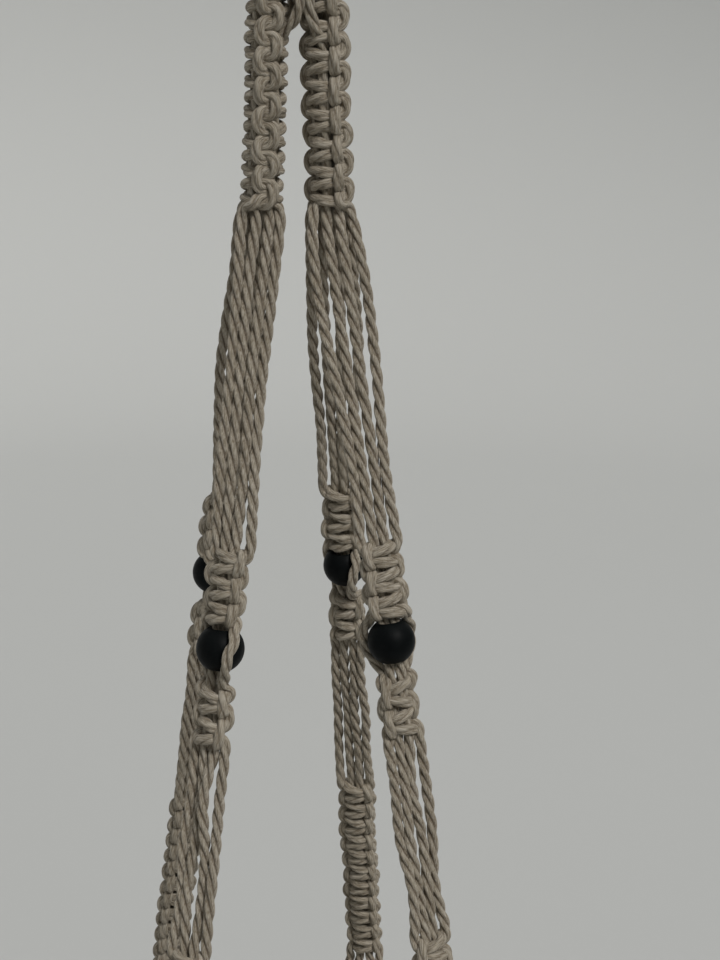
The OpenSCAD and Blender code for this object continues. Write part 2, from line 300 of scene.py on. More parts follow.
# The same knot let out round six fillers: a little narrower, and much deeper
THICK_WIDTH, THICK_DEPTH = 0.87, 1.72
thick_knot = [strand * [THICK_WIDTH, THICK_DEPTH, THICK_PITCH / SLIM_PITCH] for strand in slim_knot]
# How far a wobble of 1 mm also turns a knot, in degrees
TURN_PER_WOBBLE = 11


def tied(knot, knot_pitch, pitch, knots, mirrored, wobble, tight=1.0, turn_deg=0.0):
    """Both tying strands through a run of knots, each knot set slightly off its neighbours.
    tight below 1 pulls the sinnet narrower."""
    shove = rng.normal(0, wobble, (knots + 1, 3))
    twist = turn_deg + rng.normal(0, TURN_PER_WOBBLE * wobble, knots + 1)
    out = []
    for strand in knot:
        run = []
        for m in range(knots):
            for q in strand:
                t = -q[2] / knot_pitch
                place = min(max(m + t, 0), knots)
                low = min(int(place), knots - 1)
                off = lerp(shove[low], shove[low + 1], place - low)
                turn = math.radians(lerp(twist[low], twist[low + 1], place - low))
                x = q[0] * tight * (-1 if mirrored else 1)
                run.append([
                    x * math.cos(turn) - q[1] * math.sin(turn) + off[0],
                    x * math.sin(turn) + q[1] * math.cos(turn) + off[1],
                    -(m + t) * pitch + off[2],
                ])
        out.append(np.array(run))
    return out


# ---------------------------------------------------------------- strand routes
class Strand:
    """One strand's way down: control points, each with the CAD node that the stretch belongs to."""

    def __init__(self):
        self.points, self.tags = [], []

    def add(self, tag, points):
        for p in points:
            self.points.append(np.asarray(p, float))
            self.tags.append(tag)


FOLDS_MIDDLE = 3.5
# The shares of the way from the ring to the wrap's grid that a fold has covered at two heights
FOLD_SHARES = (0.08, 0.45)


def fold_route(column, rank):
    """From the top of the ring's bar down one side of the fold and through the upper wrap."""
    k = 2 * column + (0 if rank in (0, 3) else 1)
    side = -1 if rank < 2 else 1
    a = math.radians((k - FOLDS_MIDDLE) * FOLD_STEP)
    points = []
    for t in (90, 60, 30, 0):
        lift = FOLD_R * math.sin(math.radians(t))
        points.append([(RING_R - lift) * math.sin(a), side * FOLD_R * math.cos(math.radians(t)),
                       RING_Z - (RING_R - lift) * math.cos(a)])
    foot_x = RING_R * math.sin(a)
    goal_x, goal_y = ROW[column], ROW[rank]
    points.append([lerp(foot_x, goal_x, FOLD_SHARES[0]), side * FOLD_R, BELOW_RING_Z])
    points.append([lerp(foot_x, goal_x, FOLD_SHARES[1]), goal_y, FOLD_PART_Z])
    points.append([goal_x, goal_y, TOP_WRAP_Z + WRAP_H])
    points.append([goal_x, goal_y, TOP_WRAP_Z + 2])
    return points


# A cost that outweighs any distance, and enough rounds of swapping to settle
BARRED, MATCH_ROUNDS = 1e6, 12


def matched(starts, goals, free):
    """Pair each start with a goal so that the strands cross little; free[s][g] says what may be."""
    n = len(starts)
    order = list(range(n))

    def cost(s, g):
        return np.sum((starts[s] - goals[g]) ** 2) + (0 if free[s][g] else BARRED)

    for _ in range(MATCH_ROUNDS):
        for a in range(n):
            for b in range(a + 1, n):
                now = cost(a, order[a]) + cost(b, order[b])
                if cost(a, order[b]) + cost(b, order[a]) < now - 1e-9:
                    order[a], order[b] = order[b], order[a]
    return order


def is_centre(column, rank):
    """Whether a strand comes down between the thick sinnets before it joins one."""
    return column in (1, 2) and rank in (0, 3)


CENTRE_X = {1: -0.2, 2: 4.5}
CENTRE_Y = {0: -9.4, 3: 11.6}
CENTRE_ENTRY_Z = CROTCH_Z - 6
MAIN_MIDDLE_Z = [-180, -205]
MAIN_WOBBLE, MAIN_FILLER_SWAY = 0.25, 0.3
# How far the grid in the wrap is taken to lie beside a thick sinnet when strands choose places
PAIRING_SHIFT = 0.55
# All sixteen strands by their place in the upper wrap, then by arm and place across it
strands = {(c, r): Strand() for c in range(4) for r in range(4)}
arm_strands = {}


def run_main(side):
    """Eight strands from the ring down to the foot of one thick sinnet."""
    columns = (0, 1) if side < 0 else (2, 3)
    keys = [(c, r) for c in columns for r in range(4)]
    top = np.array([side * MAIN_TOP_X, 0, MAIN_TOP_Z])
    foot = np.array([side * MAIN_FOOT_X, 0, -SPLIT])
    up = unit(top - foot)
    face = math.radians(MAIN_FACE[0 if side < 0 else 1])
    across = np.array([-math.sin(face), math.cos(face), 0])
    across = unit(across - up * np.dot(across, up))
    axes = np.array([across, np.cross(up, across), up])
    length = np.linalg.norm(top - foot)
    pair = tied(thick_knot, THICK_PITCH, length / MAIN_KNOTS, MAIN_KNOTS, False, MAIN_WOBBLE)
    spots = [pair[0][0][:2], pair[1][0][:2]] + [np.array(f) for f in THICK_FILLERS]
    world = [s[0] * axes[0] + s[1] * axes[1] for s in spots]
    by_y = sorted(range(8), key=lambda g: world[g][1])
    front = set(by_y[:4])
    starts = [np.array([ROW[c] - side * MAIN_TOP_X * PAIRING_SHIFT, ROW[r]]) for c, r in keys]
    free = [[(g in front) == (keys[s][1] < 2) and not (g < 2 and is_centre(*keys[s]))
             for g in range(8)] for s in range(8)]
    order = matched(starts, [w[:2] for w in world], free)
    node = "main_sinnet_left" if side < 0 else "main_sinnet_right"
    for s, key in enumerate(keys):
        strand, g = strands[key], order[s]
        strand.add("folded_cords", fold_route(*key))
        column, rank = key
        start = [ROW[column], ROW[rank], TOP_WRAP_Z]
        if is_centre(*key):
            x, y = CENTRE_X[column], CENTRE_Y[rank]
            strand.add("neck_strands", [start, [x, y, MAIN_TOP_Z + 2], [x, y, CROTCH_Z + 8]])
            entry = CENTRE_ENTRY_Z
        else:
            strand.add("neck_strands", [start, lerp(start, top + world[g], 0.5)])
            entry = MAIN_TOP_Z - 3
        if g < 2:
            strand.add(node, top + pair[g] @ axes)
        else:
            lower = [z for z in (entry, *MAIN_MIDDLE_Z, -SPLIT + 2) if z <= entry]
            spread = rng.normal(0, MAIN_FILLER_SWAY, (len(lower), 2))
            line = [top + (top[2] - z) / (top[2] - foot[2]) * (foot - top)
                    + (spots[g][0] + e[0]) * axes[0] + (spots[g][1] + e[1]) * axes[1]
                    for z, e in zip(lower, spread)]
            strand.add(node, line)
    # Four strands to the front arm and four to the back one
    for i in (j for j in range(4) if arm_side(j) == side):
        group = [s for s in range(8) if (order[s] in front) == (arm_front(i) < 0)]
        heads = [np.array([ROW[k], arm_front(i) * ARM_HEAD_Y]) for k in range(4)]
        way = matched([world[order[s]][:2] for s in group], heads, [[True] * 4] * 4)
        for s, k in zip(group, way):
            arm_strands[i, k] = strands[keys[s]]


# Which arms tie their knots the other way round
MIRRORED = [True, False, True, True]
# How far each arm's left and right tying strands stand round to the bead's front (behind it
# below 0), in degrees
BEAD_WAY = [(-35, 50), (-38, -38), (-35, 56), (75, 30)]
# How far each arm's short sinnets have turned about their own length, in degrees
KNOT_TURN = [-14, 20, 0, 6]
# How much wider than its ends each arm's upper bundle of loose strands lies, at three places down it
UPPER_SPREAD = [(0.05, 0.05, 0), (0.42, 0.34, 0.1), (0.42, 0.36, 0.1), (0.05, 0.05, 0)]
UPPER_SHARES, LONG_SHARES = (0.22, 0.5, 0.78), (0.25, 0.5, 0.75)
UPPER_SWAY, LONG_SWAY = 0.7, 0.9
# Each run of small knots: how uneven it is, and how narrow it is pulled
SHORT_WOBBLE, LONG_WOBBLE = 0.5, 0.3
UPPER_TIGHT, LOWER_TIGHT, LONG_TIGHT = 0.84, 0.76, 0.84
FILLER_INSET = 2
BEAD_FILLER_X, BEAD_SIDE_MIN_R = 2.4, 5.4
BEAD_SHARES = (0.0, 0.16, 0.32, 0.48, 0.64, 0.8, 1.0)
# The cords leave the bead slightly sooner than a circle would, and swing round it quickly
BEAD_STRETCH, BEAD_TURN_END, BEAD_TURN_POWER = 1.02, 0.08, 0.4


def run_arm(i):
    """The four strands of one arm, from its thick sinnet to the foot of its long sinnet."""
    name = ARMS[i]
    side, front = arm_side(i), arm_front(i)
    axes = arm_axes(i, ARM_FACE[i])
    long_axes = arm_axes(i, ARM_LONG_FACE[i])
    bow = BEAD_R + SEAM + CORD_R

    def spot(drop, local, ax=axes):
        return arm_at(i, drop) + np.asarray(local, float) @ ax

    def length(a, b):
        return np.linalg.norm(arm_at(i, b) - arm_at(i, a))

    def knots(node, start, end, count, ax, wobble, tight, turn_deg=0.0):
        pair = tied(slim_knot, SLIM_PITCH, length(start, end) / count, count, MIRRORED[i],
                    wobble, tight, turn_deg)
        if MIRRORED[i]:
            pair = pair[::-1]
        for k, run in ((0, pair[0]), (3, pair[1])):
            arm_strands[i, k].add(node, spot(start, (0, 0, 0)) + run @ ax)
        for k, x in ((1, -FILLER_X), (2, FILLER_X)):
            arm_strands[i, k].add(node, [spot(start + FILLER_INSET, (x, 0, 0), ax),
                                         spot(end - FILLER_INSET, (x, 0, 0), ax)])

    for k in range(4):
        middle_head = np.array([side * MAIN_FOOT_X, front * ARM_HEAD_Y, -SPLIT - KNOT_GAP])
        middle_foot = spot(UPPER, (0, 0, 0))
        head = middle_head + [ROW[k], 0, 0]
        foot = spot(UPPER, (ROW[k], 0, 0))
        sway = rng.normal(0, UPPER_SWAY, (3, 3)) * [1, 1, 0]
        way = []
        for n, t in enumerate(UPPER_SHARES):
            middle, place = lerp(middle_head, middle_foot, t), lerp(head, foot, t)
            way.append(place + UPPER_SPREAD[i][n] * (place - middle) + sway[n])
        arm_strands[i, k].add("upper_strands_" + name, [head] + way)
    knots("upper_knots_" + name, UPPER, UPPER_END, UPPER_KNOTS, axes, SHORT_WOBBLE,
          UPPER_TIGHT, KNOT_TURN[i])
    top, foot = UPPER_END + LEAVE_GAP, LOWER - KNOT_GAP
    for k, way in ((0, BEAD_WAY[i][0]), (3, BEAD_WAY[i][1])):
        out = -1 if k == 0 else 1
        line = []
        for t in BEAD_SHARES:
            drop = lerp(top, foot, t)
            along = (BEAD - drop) * BEAD_STRETCH
            round_bead = math.sqrt(max(bow**2 - along**2, 0)) if abs(along) < bow else 0
            r = max(round_bead, BEAD_SIDE_MIN_R)
            inner_t = min(max(t, BEAD_TURN_END), 1 - BEAD_TURN_END)
            turn = math.radians(way) * math.sin(math.pi * inner_t) ** BEAD_TURN_POWER
            line.append(spot(drop, (out * r * math.cos(turn), -r * math.sin(turn), 0)))
        arm_strands[i, k].add("bead_side_cords_" + name, line)
    for k, x in ((1, -BEAD_FILLER_X), (2, BEAD_FILLER_X)):
        arm_strands[i, k].add("bead_fillers_" + name, [spot(top, (x, 0, 0)), spot(foot, (x, 0, 0))])
    knots("lower_knots_" + name, LOWER, LOWER_END, LOWER_KNOTS, axes, SHORT_WOBBLE,
          LOWER_TIGHT, KNOT_TURN[i])
    for k in range(4):
        a = spot(LOWER_END + LONG_GAP, (ROW[k], 0, 0))
        b = spot(LONG - LONG_GAP, (ROW[k], 0, 0), long_axes)
        sway = rng.normal(0, LONG_SWAY, (3, 3)) * [1, 1, 0]
        way = [lerp(a, b, t) + sway[n] for n, t in enumerate(LONG_SHARES)]
        arm_strands[i, k].add("long_strands_" + name, [a] + way)
    knots("long_sinnet_" + name, LONG, LONG_END, LONG_KNOTS, long_axes, LONG_WOBBLE, LONG_TIGHT)


BASKET_POINTS = 10
# The upper and lower strand of a pair pass each other this far above and below their middle line
CROSSING_LIFT, CROSSING_POWER = 2, 0.8


def basket_route(i, k):
    """Where strand k leaves arm i for: the basket knot's number, and the way round the pot to it."""
    outward = 1 if i < 2 else -1
    way = 1 if k > 1 else -1
    j = i if way > 0 else (i + 3) % 4
    upper = k in (0, 3)
    start, end = LONG_END + LEAVE_GAP, BASKET_KNOT_DROP - KNOT_GAP
    foot = arm_at(i, start) + outward * ROW[k] * arm_across(i, ARM_LONG_FACE[i])
    start_r = math.hypot(foot[0], foot[1])
    start_a = wrapped(math.degrees(math.atan2(foot[1], foot[0])), ARM_ANGLE[i])
    goal_x = -way * (ROW[2] if upper else ROW[3])
    goal_a = wrapped(basket_angle(j), start_a) + math.degrees(goal_x / lay_r(BASKET_KNOT_DROP, 0))
    points = []
    for s in range(BASKET_POINTS + 1):
        t = s / BASKET_POINTS
        drop = lerp(start, end, t)
        hump = CROSSING_LIFT * math.sin(math.pi * t) ** CROSSING_POWER if 0 < t < 1 else 0
        lift = hump if upper else -hump
        points.append(polar(lay_r(drop, start_r), lerp(start_a, goal_a, t * t * (3 - 2 * t)),
                            -SPLIT - drop + lift))
    return j, points


# Where each strand of a quarter stands in the lower wrap: out from the middle, and across
BUNDLE_PLACE = np.array([[1.414, 0.707], [2.121, 0], [0.707, 0], [1.414, -0.707]]) * PITCH
# Each strand's way from the pot's foot to the lower wrap: out, across and below the pot
GATHER_WAY = [
    [[32, 7.2, 24], [18, 6.4, 34.5], [11, 4.9, 40.5]],
    [[32, 2.4, 24.5], [18, 1.7, 36], [12.5, 0.2, 41.5]],
    [[32, -2.4, 23], [18, -1.9, 31], [10, -0.8, 36], [4.6, -0.2, 40]],
    [[32, -7.2, 24], [18, -6.6, 34.5], [11, -4.9, 40.5]],
]
GATHERED_R = 18


def bundle_point(j, out, across, drop):
    """A point of quarter j, which turns from the basket knot's angle to its own in the bundle."""
    edge_r = pot_r(BASE_DROP)
    share = min(1, max(0, (edge_r - out) / (edge_r - GATHERED_R)))
    a = math.radians(lerp(basket_angle(j), wrapped(90 * j - 90, basket_angle(j)), share))
    return np.array([out * math.cos(a) - across * math.sin(a),
                     out * math.sin(a) + across * math.cos(a), -SPLIT - drop])


BASE_GAP, BASE_STEP, BASE_LAST = 1.5, 14, 11
# Round the pot's foot: out from its edge, and below it
EDGE_WAY = [[1.9, 2.4], [-9, 9]]


def base_route(j, k):
    """Strand k of basket knot j down the pot, in under it and through the lower wrap."""
    top = BASKET_KNOT_DROP + BASKET_KNOT_L + BASE_GAP
    edge_r = pot_r(BASE_DROP)
    out, across = BUNDLE_PLACE[k]
    drops = [top + BASE_STEP * n for n in range(4)] + [BASE_DROP - BASE_LAST]
    way = [[lay_r(d, 0), -ROW[k], d] for d in drops]
    way += [[edge_r + e[0], -ROW[k], BASE_DROP + e[1]] for e in EDGE_WAY]
    way += [[g[0], g[1], BASE_DROP + g[2]] for g in GATHER_WAY[k]]
    way += [[out, across, LOWER_WRAP_DROP - 2], [out, across, LOWER_WRAP_DROP + WRAP_H - 1]]
    return [bundle_point(j, *p) for p in way]


TASSEL_GAP, TASSEL_POINTS, TASSEL_FLARE = 0.15, 9, 0.5


def tassel_route(j, k):
    """Straight below the wrap, then with the slight waves that cut strand ends keep."""
    place = BUNDLE_PLACE[k]
    top = LOWER_WRAP_DROP + WRAP_H + TASSEL_GAP
    cut = TASSEL_L - rng.uniform(0, TASSEL_UNEVEN)
    points = []
    for s in np.linspace(0, 1, TASSEL_POINTS):
        wave = rng.normal(0, TASSEL_WAVE, 2) * min(1, 2 * s)
        points.append(bundle_point(j, *(place * (1 + TASSEL_FLARE * s) + wave), top + cut * s))
    return points


BASKET_WOBBLE, SLOPE_REACH = 0.2, 4
# The place that strand k of an arm takes in its basket knot. Seen from outside, place 3 is at the
# knot's left and place 0 at its right, and these two tie it.
COMING_IN = [1, 0, 3, 2]


def run_basket():
    """All sixteen strands from the arms' feet to the tassel's ends."""
    comers = {}
    for i in range(4):
        for k in range(4):
            own = k if i < 2 else 3 - k
            j, points = basket_route(i, k)
            arm_strands[i, own].add("basket_cords_" + ARMS[i], points[1:-1])
            comers[j, COMING_IN[k]] = arm_strands[i, own]
    for j in range(4):
        middle = BASKET_KNOT_DROP + BASKET_KNOT_L / 2
        slope = (pot_r(middle - SLOPE_REACH) - pot_r(middle + SLOPE_REACH)) / (2 * SLOPE_REACH)
        out, across = polar(1, basket_angle(j), 0), polar(1, basket_angle(j) + 90, 0)
        up = unit(np.array([0, 0, 1.0]) + out * slope)
        axes = np.array([across, np.cross(up, across), up])
        centre = polar(pot_r(middle) + LAY_GAP + KNOT_T / 2, basket_angle(j), -SPLIT - middle)
        top = centre + up * BASKET_KNOT_L / 2
        pair = tied(slim_knot, SLIM_PITCH, BASKET_KNOT_L, 1, False, BASKET_WOBBLE)
        node = "basket_knot_" + SIDES[j]
        comers[j, 3].add(node, top + pair[0] @ axes)
        comers[j, 0].add(node, top + pair[1] @ axes)
        for k, x in ((2, -FILLER_X), (1, FILLER_X)):
            comers[j, k].add(node, [top + np.array([x, 0, -FILLER_INSET]) @ axes,
                                    top + np.array([x, 0, FILLER_INSET - BASKET_KNOT_L]) @ axes])
        for k in range(4):
            comers[j, k].add("base_cords_" + SIDES[j], base_route(j, k))
            comers[j, k].add(f"tassel_strand_{j * 4 + k + 1:02d}", tassel_route(j, k))


for side in (-1, 1):
    run_main(side)
for arm in range(4):
    run_arm(arm)
run_basket()

# ---------------------------------------------------------------- rope meshes
STEP, SHORTEST_STEP = 0.85, 0.15
SMOOTHING_ROUNDS = 5
# Three plies of this radius, at this distance from the strand's middle, go once round it in a lay
LAY = 27.0
PLY_R, PLY_OFF = 1.27, 1.29
PLY_ANGLES = np.radians([-60, -50, -34, -17, 0, 17, 34, 50])
RING_ANGLES = np.concatenate([PLY_ANGLES + math.radians(120 * n) for n in range(3)])
RING_LOCAL = np.tile(PLY_ANGLES, 3)
RING_RADII = PLY_OFF * np.cos(RING_LOCAL) + np.sqrt(PLY_R**2 - (PLY_OFF * np.sin(RING_LOCAL)) ** 2)
# How deep in the groove between two plies each point of a ring lies; the rope's colour is darkened by
# it as painted shade
GROOVE_POWER = 3
RING_GROOVE = (np.abs(RING_LOCAL) / math.radians(60)) ** GROOVE_POWER
SIDES_N = len(RING_ANGLES)
# Any direction that no strand starts along
START_NORMAL = [0.31, 0.87, 0.39]


def smooth_line(points, tags):
    """A centripetal Catmull-Rom curve through the points, sampled every STEP or so."""
    p = np.array(points)
    keep = np.concatenate([[True], np.linalg.norm(np.diff(p, axis=0), axis=1) > SHORTEST_STEP])
    p, tags = p[keep], [t for t, k in zip(tags, keep) if k]
    ext = np.vstack([2 * p[0] - p[1], p, 2 * p[-1] - p[-2]])
    knot = np.concatenate([[0], np.cumsum(np.sqrt(np.linalg.norm(np.diff(ext, axis=0), axis=1)))])
    out, out_tags = [], []
    for m in range(len(p) - 1):
        p0, p1, p2, p3 = ext[m:m + 4]
        t0, t1, t2, t3 = knot[m:m + 4]
        n = max(1, round(np.linalg.norm(p2 - p1) / STEP))
        t = (t1 + (t2 - t1) * np.arange(n) / n)[:, None]
        a1 = (t1 - t) / (t1 - t0) * p0 + (t - t0) / (t1 - t0) * p1
        a2 = (t2 - t) / (t2 - t1) * p1 + (t - t1) / (t2 - t1) * p2
        a3 = (t3 - t) / (t3 - t2) * p2 + (t - t2) / (t3 - t2) * p3
        b1 = (t2 - t) / (t2 - t0) * a1 + (t - t0) / (t2 - t0) * a2
        b2 = (t3 - t) / (t3 - t1) * a2 + (t - t1) / (t3 - t1) * a3
        out.append((t2 - t) / (t2 - t1) * b1 + (t - t1) / (t2 - t1) * b2)
        out_tags += [tags[m + 1] if m else tags[0]] * n
    out.append(p[-1:])
    out_tags.append(tags[-1])
    line = np.concatenate(out)
    for _ in range(SMOOTHING_ROUNDS):
        line[1:-1] = line[1:-1] / 2 + (line[:-2] + line[2:]) / 4
    return line, out_tags


def frames_along(line):
    """Axes square to the line that turn with it but don't spin about it."""
    t = np.gradient(line, axis=0)
    t /= np.linalg.norm(t, axis=1, keepdims=True)
    normal = np.cross(t[0], START_NORMAL)
    normal /= np.linalg.norm(normal)
    normals = [normal]
    # Each frame is the one before it, mirrored across the step and then onto the next direction
    for m in range(len(line) - 1):
        v = line[m + 1] - line[m]
        c = v @ v
        n_l = normals[-1] - 2 / c * (v @ normals[-1]) * v
        t_l = t[m] - 2 / c * (v @ t[m]) * v
        v2 = t[m + 1] - t_l
        c2 = v2 @ v2
        normals.append(n_l - 2 / c2 * (v2 @ n_l) * v2 if c2 > 1e-12 else n_l)
    n = np.array(normals)
    return t, n, np.cross(t, n)


class Rope:
    """Gathers the rings of every stretch that belongs to one piece."""

    def __init__(self):
        self.verts, self.rope, self.groove, self.quads, self.caps = [], [], [], [], []
        self.count = 0

    def stretch(self, line, n, b, run, phase, scale, packed, seed):
        rings = len(line)
        turn = phase[:, None] + RING_ANGLES[None]
        rounder = PACKED_ROUND * packed[:, None]
        radius = (RING_RADII[None] + (RING_RADII.mean() - RING_RADII[None]) * rounder) * scale[:, None]
        verts = line[:, None] + radius[..., None] * (
            np.cos(turn)[..., None] * n[:, None] + np.sin(turn)[..., None] * b[:, None])
        rope = np.stack([radius * np.cos(turn), radius * np.sin(turn),
                         np.repeat(run[:, None], SIDES_N, 1) + seed], 2)
        base = self.count
        grid = base + np.arange(rings * SIDES_N).reshape(rings, SIDES_N)
        after = np.roll(grid, -1, axis=1)
        quads = np.stack([grid[:-1], after[:-1], after[1:], grid[1:]], 2).reshape(-1, 4)
        self.quads.append(quads)
        for ring, flip in ((0, True), (rings - 1, False)):
            start = base + rings * SIDES_N + (0 if ring == 0 else SIDES_N)
            ids = np.arange(start, start + SIDES_N)
            self.caps.append(ids[::-1] if flip else ids)
        self.verts += [verts.reshape(-1, 3), verts[0], verts[-1]]
        self.rope += [rope.reshape(-1, 3), rope[0], rope[-1]]
        # The painted groove shade fades where a knot packs the plies round
        groove = (RING_GROOVE[None] * (1 - rounder)).ravel()
        self.groove += [groove, RING_GROOVE, RING_GROOVE]
        self.count += (rings + 2) * SIDES_N

    def build(self, name):
        verts = np.concatenate(self.verts) * M
        quads = np.concatenate(self.quads)
        caps = np.array(self.caps)
        mesh = bpy.data.meshes.new(name)
        mesh.vertices.add(len(verts))
        mesh.vertices.foreach_set("co", verts.ravel())
        mesh.loops.add(quads.size + caps.size)
        mesh.loops.foreach_set("vertex_index", np.concatenate([quads.ravel(), caps.ravel()]))
        totals = np.concatenate([np.full(len(quads), 4), np.full(len(caps), SIDES_N)])
        starts = np.concatenate([[0], np.cumsum(totals)[:-1]])
        mesh.polygons.add(len(totals))
        mesh.polygons.foreach_set("loop_start", starts)
        mesh.polygons.foreach_set("loop_total", totals)
        smooth = np.ones(len(totals), bool)
        smooth[len(quads):] = False
        mesh.polygons.foreach_set("use_smooth", smooth)
        mesh.update(calc_edges=True)
        mesh.validate()
        rope = mesh.attributes.new("rope", "FLOAT_VECTOR", "POINT")
        rope.data.foreach_set("vector", np.concatenate(self.rope).ravel())
        groove = mesh.attributes.new("groove", "FLOAT", "POINT")
        groove.data.foreach_set("value", np.concatenate(self.groove))
        obj = bpy.data.objects.new(name, mesh)
        bpy.context.scene.collection.objects.link(obj)
        return obj


KNOT_SWELL = 1.08
# The change into and out of a knot is spread over this many samples to each side
PACKED_SPREAD = 4
# A cut end opens by this share over this length
END_SWELL, END_REACH = 0.16, 14.0
# The twist and the thickness both wander a little: (amount, millimetres per radian)
TURN_WANDER = [(0.35, 37), (0.2, 11.3)]
SIZE_WANDER = [(0.02, 5.1), (0.015, 2.3)]
# Keeps the colours of different strands apart
SEED_SHIFT = 97
# How far a strand pulled tight in a knot loses the grooves between its plies, and the shade painted
# into them
PACKED_ROUND = 0.48
ropes = {}
centre_lines = {}


def lay_rope(points, tags, seed, size=1.0):
    """Lays one rope along the points and shares it out to the pieces that its tags name."""
    line, line_tags = smooth_line(points, tags)
    _, n, b = frames_along(line)
    run = np.concatenate([[0], np.cumsum(np.linalg.norm(np.diff(line, axis=0), axis=1))])
    (slow, slow_mm), (quick, quick_mm) = TURN_WANDER
    sway = slow * np.sin(run / slow_mm + seed) + quick * np.sin(run / quick_mm + 2 * seed)
    phase = sway + seed - 2 * math.pi * run / LAY
    packed = np.array([1.0 if "knot" in t or "sinnet" in t else 0.0 for t in line_tags])
    window = 2 * PACKED_SPREAD + 1
    packed = np.convolve(np.pad(packed, PACKED_SPREAD, "edge"), np.ones(window) / window, "valid")
    to_end = np.minimum(run, run[-1] - run)
    open_end = END_SWELL * np.clip(1 - to_end / END_REACH, 0, 1) ** 2
    (slow, slow_mm), (quick, quick_mm) = SIZE_WANDER
    uneven = 1 + slow * np.sin(run / slow_mm + seed * 3) + quick * np.sin(run / quick_mm + seed)
    scale = size * (1 + (KNOT_SWELL - 1) * packed + open_end) * uneven
    start = 0
    for m in range(1, len(line_tags) + 1):
        if m == len(line_tags) or line_tags[m] != line_tags[start]:
            end = min(m + 1, len(line_tags))
            part = slice(start, end)
            tag = line_tags[start]
            if end - start > 1:
                rope = ropes.setdefault(tag, Rope())
                rope.stretch(line[part], n[part], b[part], run[part], phase[part], scale[part],
                             packed[part], SEED_SHIFT * seed)
                centre_lines.setdefault(tag, []).append(line[part])
            start = m


# Eight ropes, each folded over the ring: one strand up, over, and the other down
for column in range(4):
    for rank in (0, 1):
        first, second = strands[column, rank], strands[column, 3 - rank]
        lay_rope(first.points[::-1] + second.points[1:], first.tags[::-1] + second.tags[1:],
                 seed=column * 2.1 + rank * 0.9)


COIL_PITCH, COIL_INSET, COIL_START = 4.9, 2.2, 200
STEPS_PER_TURN, TUCK_STEPS = 16, 5
TUCK_DEPTH, TUCK_POWER = 4.2, 1.5
WRAP_SIZE = 1.04


def wrap_route(top_z):
    """A close coil round the bundle, its two ends tucked in against the strands."""
    turns, radius = WRAP_H / COIL_PITCH - 1, WRAP_BORE_R + COIL_INSET
    points = []
    steps = round(turns * STEPS_PER_TURN)
    for s in range(-TUCK_STEPS, steps + TUCK_STEPS + 1):
        inside = max(0, -s, s - steps) / TUCK_STEPS
        t = s / steps
        r = radius - TUCK_DEPTH * inside**TUCK_POWER
        z = top_z - COIL_PITCH / 2 - (WRAP_H - COIL_PITCH) * min(max(t, 0), 1)
        points.append(polar(r, COIL_START + 360 * turns * t, z))
    return points


for node, top_z, seed in (("top_wrap", TOP_WRAP_Z + WRAP_H, 5.5),
                          ("bottom_wrap", -SPLIT - LOWER_WRAP_DROP, 8.3)):
    route = wrap_route(top_z)
    lay_rope(route, [node] * len(route), seed, WRAP_SIZE)

# ---------------------------------------------------------------- materials
def new_material(name):
    mat = bpy.data.materials.new(name)
    mat.use_nodes = True
    nodes, links = mat.node_tree.nodes, mat.node_tree.links
    return mat, nodes, links, nodes["Principled BSDF"]


def noise(nodes, links, vector, scale, detail=3.0, roughness=0.55):
    node = nodes.new("ShaderNodeTexNoise")
    node.inputs["Scale"].default_value = scale
    node.inputs["Detail"].default_value = detail
    node.inputs["Roughness"].default_value = roughness
    if vector is not None:
        links.new(vector, node.inputs["Vector"])
    return node.outputs["Fac"]


def ramp(nodes, links, fac, stops):
    node = nodes.new("ShaderNodeValToRGB")
    band = node.color_ramp
    while len(band.elements) < len(stops):
        band.elements.new(0.5)
    for element, (place, colour) in zip(band.elements, stops):
        element.position = place
        element.color = (*colour, 1)
    links.new(fac, node.inputs["Fac"])
    return node.outputs["Color"]


def mix(nodes, links, fac, a, b, kind="MIX"):
    node = nodes.new("ShaderNodeMix")
    node.data_type = "RGBA"
    node.blend_type = kind
    for socket, value in ((node.inputs["Factor"], fac), (node.inputs[6], a), (node.inputs[7], b)):
        if isinstance(value, (int, float)):
            socket.default_value = value
        elif isinstance(value, tuple):
            socket.default_value = (*value, 1)
        else:
            links.new(value, socket)
    return node.outputs[2]


def maths(nodes, links, kind, a, b=0.0, c=0.0):
    node = nodes.new("ShaderNodeMath")
    node.operation = kind
    for socket, value in zip(node.inputs, (a, b, c)):
        if isinstance(value, (int, float)):
            socket.default_value = value
        else:
            links.new(value, socket)
    return node.outputs[0]


def bump(nodes, links, height, strength, distance, normal=None):
    node = nodes.new("ShaderNodeBump")
    node.inputs["Strength"].default_value = strength
    node.inputs["Distance"].default_value = distance
    links.new(height, node.inputs["Height"])
    if normal is not None:
        links.new(normal, node.inputs["Normal"])
    return node.outputs["Normal"]


